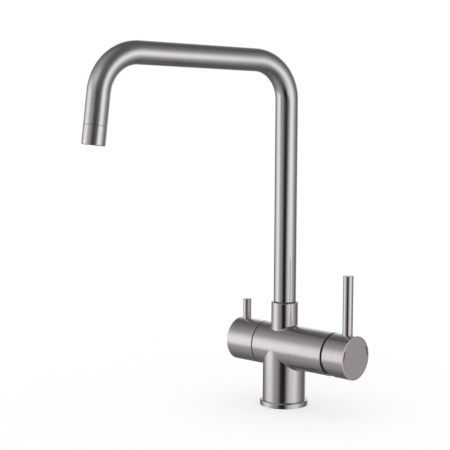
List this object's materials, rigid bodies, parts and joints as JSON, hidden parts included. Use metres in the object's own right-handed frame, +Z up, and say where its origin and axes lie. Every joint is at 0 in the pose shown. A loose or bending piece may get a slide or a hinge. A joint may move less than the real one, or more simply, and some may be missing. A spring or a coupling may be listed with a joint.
{
  "type": "kitchen mixer tap",
  "caption": "Deck-mounted kitchen mixer tap in brushed steel with a square-bend swivel spout, a side mixer lever and a small lever for filtered water.",
  "frame": {"origin": "centre of the base ring's underside, on the deck and on the pedestal's and spout's axis", "axes": "+Z up along the spout's swivel axis, +X along the barrel to the mixer lever, -Y to the front over the sink"},
  "size_m": [0.1547, 0.2374, 0.3579],
  "materials": {
    "brushed_steel": "satin",
    "dome_chrome": "polished",
    "screw_steel": "satin",
    "valve_brass": "satin",
    "seal_rubber": "matte",
    "glide_plastic": "matte",
    "cartridge_plastic": "satin",
    "jet_plastic": "satin",
    "tube_plastic": "satin",
    "disc_ceramic": "polished",
    "red_enamel": "gloss",
    "blue_enamel": "gloss"
  },
  "bodies": {
    "body": {"tap_body": "brushed_steel", "base_ring": "brushed_steel", "base_gasket": "seal_rubber", "inlet_block": "valve_brass", "inlet_gasket": "seal_rubber", "spout_lock_screw": "screw_steel", "inner_tube_seal": "seal_rubber", "cartridge_base": "cartridge_plastic", "cartridge_seals": "seal_rubber", "fixed_disc": "disc_ceramic", "cartridge_case": "cartridge_plastic", "cartridge_nut": "valve_brass", "mixer_dome": "dome_chrome", "dome_seal": "seal_rubber", "valve_body": "valve_brass", "valve_seal": "seal_rubber", "filter_seat": "seal_rubber", "filter_fixed_disc": "disc_ceramic", "glide_ring": "glide_plastic"},
    "spout": {"spout_tube": "brushed_steel", "spout_foot": "valve_brass", "spout_seals": "seal_rubber", "slide_ring": "glide_plastic", "inner_tube": "tube_plastic", "outlet_bush": "valve_brass", "aerator_housing": "brushed_steel", "aerator_insert": "jet_plastic", "aerator_washer": "seal_rubber"},
    "mixer_swivel": {"swivel_sleeve": "cartridge_plastic", "pivot_pin": "screw_steel"},
    "mixer_lever": {"lever_stem": "screw_steel", "mixer_handle": "brushed_steel", "cold_mark": "blue_enamel", "hot_mark": "red_enamel", "lever_rod": "brushed_steel", "lever_set_screw": "screw_steel"},
    "mixer_slider": {"disc_carrier": "cartridge_plastic", "moving_disc": "disc_ceramic"},
    "filter_control": {"filter_handle": "brushed_steel", "filter_rod": "brushed_steel", "filter_set_screw": "screw_steel", "filter_spindle": "valve_brass", "filter_moving_disc": "disc_ceramic", "spindle_seal": "seal_rubber", "spindle_clip": "screw_steel"}
  },
  "joints": [
    {"name": "spout_swivel", "type": "hinge", "parent": "body", "child": "spout", "pos_m": [0, 0, 0.103], "axis": [0, 0, 1], "continuous": true},
    {"name": "mixer_temperature", "type": "hinge", "parent": "body", "child": "mixer_swivel", "pos_m": [0.0558, 0, 0.0588], "axis": [1, 0, 0], "range_deg": [-50, 50]},
    {"name": "mixer_flow", "type": "hinge", "parent": "mixer_swivel", "child": "mixer_lever", "pos_m": [0.0558, 0, 0.0588], "axis": [0, 1, 0], "range_deg": [0, 18]},
    {"name": "mixer_disc_slide", "type": "slide", "parent": "mixer_swivel", "child": "mixer_slider", "axis": [0, 0, 1], "range_m": [0, 0.00315]},
    {"name": "filter_turn", "type": "hinge", "parent": "body", "child": "filter_control", "pos_m": [-0.0485, 0, 0.0588], "axis": [1, 0, 0], "range_deg": [0, 90]}
  ],
  "couplings": [
    {"joint": "mixer_disc_slide", "follows": "mixer_flow", "m_per_rad": 0.0099347}
  ]
}
